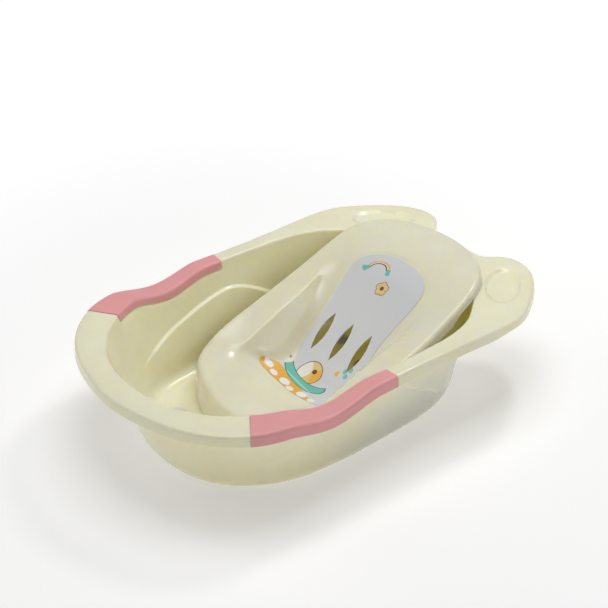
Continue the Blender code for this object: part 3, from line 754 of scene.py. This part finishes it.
# Ovals in plan: centre, radii and turn in degrees.
SHORE = ((-0.075, 0.110), (0.075, 0.200), 0.0)
BALL = ((0.022, 0.014), (0.023, 0.026), 0.0)
WHITE_STRIPE = ((0.022, 0.040), (0.023, 0.026), 0.0)
SAND_STRIPE = ((0.022, -0.014), (0.023, 0.020), 0.0)
BUTTON = ((0.030, 0.008), (0.0045, 0.0052), 0.0)
WAVE = ((0.010, 0.012), (0.022, 0.058), -6.0)
WAVE_TOP = ((0.034, 0.010), (0.030, 0.062), -6.0)
WAVE_GLINT = ((-0.006, 0.012), (0.0022, 0.040), -6.0)
RAINBOW = ((0.2045, 0.035), (0.0205, 0.0260), 17.0)
RAINBOW_SKY = ((0.300, 0.065), (0.100, 0.100), 0.0)
RAINBOW_BANDS = ((1.0, 0.84, "#F0B95A"), (0.84, 0.76, "#F4F2EC"), (0.76, 0.66, "#4A4A50"))
# Foam patches as centre and radius along the tub, then the centres of small dots.
FOAM = (
    ((-0.020, 0.082), 0.007), ((-0.026, 0.060), 0.006), ((-0.024, 0.030), 0.008),
    ((-0.030, 0.008), 0.006), ((-0.026, -0.022), 0.008), ((-0.029, -0.052), 0.006),
)
FOAM_STRETCH = 1.5
SAND_DROPS = ((0.047, -0.036),)
TEAL_DROPS = ((0.056, -0.049), (0.050, -0.056), (0.062, -0.058))
DROP_RADII = (0.0042, 0.0046)
CLOUDS = ((0.196, 0.060), (0.201, 0.057), (0.198, 0.064), (0.207, 0.010), (0.212, 0.013))
CLOUD_RADII = (0.0042, 0.0048)
FLOWER_CENTRE = (0.182, -0.004)
FLOWER_REACH = (0.0066, 0.0082)
FLOWER_TURN = 10.0
PETALS = 5
PETAL_RADII = (0.0048, 0.0060)
FLOWER_HEART = (0.0034, 0.0042)
# Scales of the ovals that show as dark outlines round the ball, the wave and the petals.
BALL_OUTLINE = 1.06
WAVE_OUTLINE = 1.05
WAVE_TOP_OUTLINE = 0.96
PETAL_OUTLINE = 1.18
INSIDE = "LESS_THAN"
OUTSIDE = "GREATER_THAN"


def flower(scale):
    """Petal ovals spaced evenly round the flower's centre, each scale times its size."""
    turns = np.radians(360.0 / PETALS * np.arange(PETALS) + FLOWER_TURN)
    along = FLOWER_CENTRE[0] + FLOWER_REACH[0] * np.cos(turns)
    across = FLOWER_CENTRE[1] + FLOWER_REACH[1] * np.sin(turns)
    return [[((place, PETAL_RADII, 0.0), INSIDE, scale)] for place in zip(along, across)]


def label_art():
    """The label's inks from the bottom up, each with the shape that it fills: a list of
    (oval, side of its edge, scale of the oval), all of which hold there."""
    art = [(SAND, [(SHORE, INSIDE, 1.0)])]
    for centre, radius in FOAM:
        art.append((FOAM_WHITE, [((centre, (radius, FOAM_STRETCH * radius), 0.0), INSIDE, 1.0)]))
    art.append((BROWN, [(BALL, INSIDE, BALL_OUTLINE)]))
    art.append((TAN, [(BALL, INSIDE, 1.0)]))
    art.append((BALL_WHITE, [(BALL, INSIDE, 1.0), (WHITE_STRIPE, INSIDE, 1.0)]))
    art.append((SAND, [(BALL, INSIDE, 1.0), (SAND_STRIPE, INSIDE, 1.0)]))
    art.append((BROWN, [(BUTTON, INSIDE, 1.0)]))
    wave_outline = [(WAVE, INSIDE, WAVE_OUTLINE), (WAVE_TOP, OUTSIDE, WAVE_TOP_OUTLINE)]
    art.append((DEEP_TEAL, wave_outline))
    art.append((TEAL, [(WAVE, INSIDE, 1.0), (WAVE_TOP, OUTSIDE, 1.0)]))
    art.append((PALE_TEAL, [(WAVE_GLINT, INSIDE, 1.0)]))
    for ink, centres in ((SAND, SAND_DROPS), (TEAL, TEAL_DROPS)):
        art += [(ink, [((centre, DROP_RADII, 0.0), INSIDE, 1.0)]) for centre in centres]
    for outer, inner, ink in RAINBOW_BANDS:
        band = [(RAINBOW, INSIDE, outer), (RAINBOW, OUTSIDE, inner), (RAINBOW_SKY, INSIDE, 1.0)]
        art.append((ink, band))
    art += [(TEAL, [((centre, CLOUD_RADII, 0.0), INSIDE, 1.0)]) for centre in CLOUDS]
    art += [(BROWN, petal) for petal in flower(PETAL_OUTLINE)]
    art += [(TAN, petal) for petal in flower(1.0)]
    art.append((BROWN, [((FLOWER_CENTRE, FLOWER_HEART, 0.0), INSIDE, 1.0)]))
    return art


def printed(tree, place, film):
    """The film's colour under its inks. An oval is a circle of radius 1 in a space that is
    moved, turned and stretched to it, so the distance from its centre tells the side."""
    colour = film
    for ink, shape in label_art():
        cover = 1.0
        for (centre, radii, turn), side, scale in shape:
            local = node(tree, "ShaderNodeMapping", {
                "Vector": place, "Location": (*centre, 0.0),
                "Rotation": (0.0, 0.0, math.radians(turn)), "Scale": (*radii, 1000.0),
            }, vector_type="TEXTURE")
            reach = node(tree, "ShaderNodeVectorMath", {0: local.outputs["Vector"]}, operation="LENGTH")
            held = node(tree, "ShaderNodeMath", {0: reach.outputs["Value"], 1: scale}, operation=side)
            cover = node(tree, "ShaderNodeMath", {
                0: cover, 1: held.outputs["Value"],
            }, operation="MULTIPLY").outputs["Value"]
        colour = node(tree, "ShaderNodeMix", {
            "Factor": cover, "A": colour, "B": linear(ink),
        }, data_type="RGBA").outputs["Result"]
    return colour


def printed_film():
    """Polypropylene film, satin, with flat inks. Its grey drifts over 60 mm, and it lies
    0.2 mm up and down with the same drift, as glued film does."""
    finish, tree, shader, place = plain_material("printed_film")
    mottle = node(tree, "ShaderNodeTexNoise", {"Vector": place, "Scale": per_metre(60.0), "Detail": 2.0})
    film = node(tree, "ShaderNodeMix", {
        "Factor": mottle.outputs["Fac"], "A": linear(FILM_GREYS[0]), "B": linear(FILM_GREYS[1]),
    }, data_type="RGBA")
    gloss = node(tree, "ShaderNodeMapRange", {
        "Value": mottle.outputs["Fac"], "From Min": 0.3, "From Max": 0.7, "To Min": 0.28, "To Max": 0.36,
    })
    lift = node(tree, "ShaderNodeBump", {
        "Height": mottle.outputs["Fac"], "Strength": 1.0, "Distance": 0.0002,
    })
    tree.links.new(printed(tree, place, film.outputs["Result"]), shader.inputs["Base Color"])
    tree.links.new(gloss.outputs["Result"], shader.inputs["Roughness"])
    tree.links.new(lift.outputs["Normal"], shader.inputs["Normal"])
    shader.inputs["IOR"].default_value = 1.49
    return finish


# Light grey film with its print, duller than the plastic round it.
label_film = printed_film()
plan = fill_plan(LABEL_PLAN, LABEL_CORNERS, *LABEL_GRID)
label_grid = raised(plan, seat_height(plan[..., 0], plan[..., 1]) - recess(plan))
label_grid = label_grid + LABEL_LIFT * normals(label_grid, False)
label = new_piece("label", label_grid, grid_quads(*LABEL_GRID), label_film)
thicken(label, LABEL_THICKNESS)
cut(label, cutters)
settle(label)
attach(label, "bath_seat")
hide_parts("seat_label")
bpy.data.objects.remove(cutters, do_unlink=True)

# Drain plug. A turned stopper of straw-coloured soft vinyl, pushed into the drain by
# hand: a flange on the floor, a stem in the hole and a small knob to pull.
PLUG_TURNS = 96
PLUG_CLEARANCE = 0.0003
PLUG_STEM_FOOT = 0.0167
# Radius and height over the flange's seat: the knob from its top, the neck and the flange.
PLUG_ABOVE = (
    (0.0, 0.020), (0.003, 0.0199), (0.006, 0.0192), (0.0082, 0.0176), (0.009, 0.0155),
    (0.0084, 0.0132), (0.0068, 0.0108), (0.0054, 0.0085), (0.0052, 0.0062), (0.0062, 0.0046),
    (0.009, 0.0039), (0.015, 0.0037), (0.021, 0.0034), (0.0228, 0.0026), (0.0235, 0.0014),
    (0.0235, 0.0), (0.0177, 0.0), (0.0175, -0.002),
)


def turned(profile, centre, count):
    """Points and faces of a profile of (radius, height) turned round an upright axis; a
    profile that starts and ends on the axis is closed by one point there."""
    profile = np.array(profile)
    angle = np.linspace(0.0, 2 * math.pi, count, endpoint=False)[None, :]
    radius, height = profile[1:-1, 0, None], profile[1:-1, 1, None]
    x = centre[0] + radius * np.cos(angle)
    y = centre[1] + radius * np.sin(angle)
    ring = np.stack([x, y, height + 0 * angle], axis=-1)
    poles = [(*centre, profile[0, 1]), (*centre, profile[-1, 1])]
    points = np.vstack([ring.reshape(-1, 3), poles])
    quads = grid_quads(*ring.shape[:2], closed=True).tolist()
    start = len(points) - 2
    around = np.arange(count)
    last_row = around + (len(profile) - 3) * count
    quads += [[start, int(a), int(b)] for a, b in zip(around, np.roll(around, -1))]
    quads += [[start + 1, int(b), int(a)] for a, b in zip(last_row, np.roll(last_row, -1))]
    return points, quads


def rubber(name, tones):
    """Soft moulded rubber or vinyl: matt, cloudy over 12 mm, with a pebbled skin, drawn
    1.2 mm across and 0.03 mm deep so that it shows."""
    finish, tree, shader, place = plain_material(name)
    cloud = node(tree, "ShaderNodeTexNoise", {"Vector": place, "Scale": per_metre(12.0), "Detail": 3.0})
    tone = node(tree, "ShaderNodeMix", {
        "Factor": cloud.outputs["Fac"], "A": linear(tones[0]), "B": linear(tones[1]),
    }, data_type="RGBA")
    pebbles = node(tree, "ShaderNodeTexNoise", {"Vector": place, "Scale": per_metre(1.2), "Detail": 2.0})
    gloss = node(tree, "ShaderNodeMapRange", {
        "Value": pebbles.outputs["Fac"], "From Min": 0.3, "From Max": 0.7, "To Min": 0.45, "To Max": 0.58,
    })
    bump = node(tree, "ShaderNodeBump", {
        "Height": pebbles.outputs["Fac"], "Strength": 1.0, "Distance": 0.00003,
    })
    tree.links.new(tone.outputs["Result"], shader.inputs["Base Color"])
    tree.links.new(gloss.outputs["Result"], shader.inputs["Roughness"])
    tree.links.new(bump.outputs["Normal"], shader.inputs["Normal"])
    shader.inputs["IOR"].default_value = 1.50
    return finish


# Soft vinyl of the plug, in a pale straw colour near that of the tub.
straw_vinyl = rubber("straw_soft_vinyl", ("#D8C887", "#DECF93"))
plug_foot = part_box("drain_plug")[0].z
flange = FLOOR_Z + PLUG_CLEARANCE
plug_profile = [(radius, flange + height) for radius, height in PLUG_ABOVE]
plug_profile += [(PLUG_STEM_FOOT, plug_foot), (0.0, plug_foot)]
plug = new_piece("plug", *turned(plug_profile, (DRAIN_X, 0.0), PLUG_TURNS), straw_vinyl)
settle(plug, 50.0)
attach(plug, "drain_plug")
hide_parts("drain_plug")

# Foot pads. Four round rubber pads pressed onto the underside keep the tub from sliding.
PAD_TURNS = 64
PAD_ROUNDING = 0.0007
PAD_EDGE_POINTS = 5

# Grey rubber of the pads.
pad_rubber = rubber("grey_rubber", ("#737376", "#7D7D80"))
for number in range(1, 5):
    low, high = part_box(f"foot_pad_{number}")
    middle = ((low.x + high.x) / 2, (low.y + high.y) / 2)
    radius = (high.x - low.x) / 2
    turn = np.linspace(math.pi / 2, 0.0, PAD_EDGE_POINTS)
    edge_radius = radius - PAD_ROUNDING * (1 - np.sin(turn))
    edge_height = low.z + PAD_ROUNDING * (1 - np.cos(turn))
    edge = list(zip(edge_radius, edge_height))
    profile = [(0.0, high.z), (radius, high.z), *edge, (0.0, low.z)]
    pad = new_piece(f"pad_{number}", *turned(profile, middle, PAD_TURNS), pad_rubber)
    settle(pad, 50.0)
    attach(pad, "tub")
    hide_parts(f"foot_pad_{number}")

# Stage. A plain pale floor that glows as painted light, a little more away from the tub, where the lamps
# reach it less. It glows less near the tub, so less of its light reaches the tub's sides, which is painted
# shade on them. Soft lights over it, and the camera.
FLOOR_HALF = 12.0
LAMP_TARGET = Vector((0.0, 0.0, 0.1))
CAMERA_PLACE = (-1.4386, -1.7713, 1.6257)
CAMERA_TARGET = Vector((0.009, 0.0135, 0.195))
CAMERA_LENS = 88.8
# Lamps: name, place, side in metres and power in watts. The small one draws the thin
# bright lines along the ridges.
LAMPS = (
    ("top_light", (0.0, 0.0, 2.2), 1.4, 21.0),
    ("edge_light", (1.15, 0.2, 1.9), 0.35, 8.0),
    ("front_light", (-0.4, -2.1, 1.4), 1.2, 2.0),
    ("back_light", (-1.3, 1.6, 1.6), 1.4, 10.0),
    ("side_light", (1.9, -0.9, 1.3), 1.2, 5.0),
)

floor_material, tree, shader, place = plain_material("studio_floor")
shader.inputs["Base Color"].default_value = linear("#F4F4F4")
shader.inputs["Roughness"].default_value = 0.8
shader.inputs["Emission Color"].default_value = (1.0, 1.0, 1.0, 1.0)
# Painted light: the floor's own glow, weakest within half a metre of the tub so that the tub's sides get
# painted shade.
away = node(tree, "ShaderNodeVectorMath", {0: place}, operation="LENGTH")
glow = node(tree, "ShaderNodeMapRange", {
    "Value": away.outputs["Value"], "From Min": 0.5, "From Max": 2.0, "To Min": 0.28, "To Max": 0.72,
}, interpolation_type="SMOOTHSTEP")
tree.links.new(glow.outputs["Result"], shader.inputs["Emission Strength"])
corners = np.array([(-1, -1, 0), (1, -1, 0), (1, 1, 0), (-1, 1, 0)]) * FLOOR_HALF
floor = new_piece("floor", corners, [(0, 1, 2, 3)], floor_material)

world = bpy.data.worlds.new("studio")
world.use_nodes = True
world.node_tree.nodes["Background"].inputs["Color"].default_value = linear("#FFFFFF")
world.node_tree.nodes["Background"].inputs["Strength"].default_value = 0.10
bpy.context.scene.world = world

for name, place, size, power in LAMPS:
    lamp = bpy.data.lights.new(name, "AREA")
    lamp.size = size
    lamp.energy = power
    holder = bpy.data.objects.new(name, lamp)
    holder.location = place
    toward = LAMP_TARGET - holder.location
    holder.rotation_euler = toward.to_track_quat("-Z", "Y").to_euler()
    bpy.context.scene.collection.objects.link(holder)

bpy.context.scene.view_settings.view_transform = "Standard"

camera_data = bpy.data.cameras.new("camera")
camera_data.lens = CAMERA_LENS
camera_data.sensor_width = 36.0
camera = bpy.data.objects.new("camera", camera_data)
camera.location = CAMERA_PLACE
toward = CAMERA_TARGET - camera.location
camera.rotation_euler = toward.to_track_quat("-Z", "Y").to_euler()
bpy.context.scene.collection.objects.link(camera)
bpy.context.scene.camera = camera
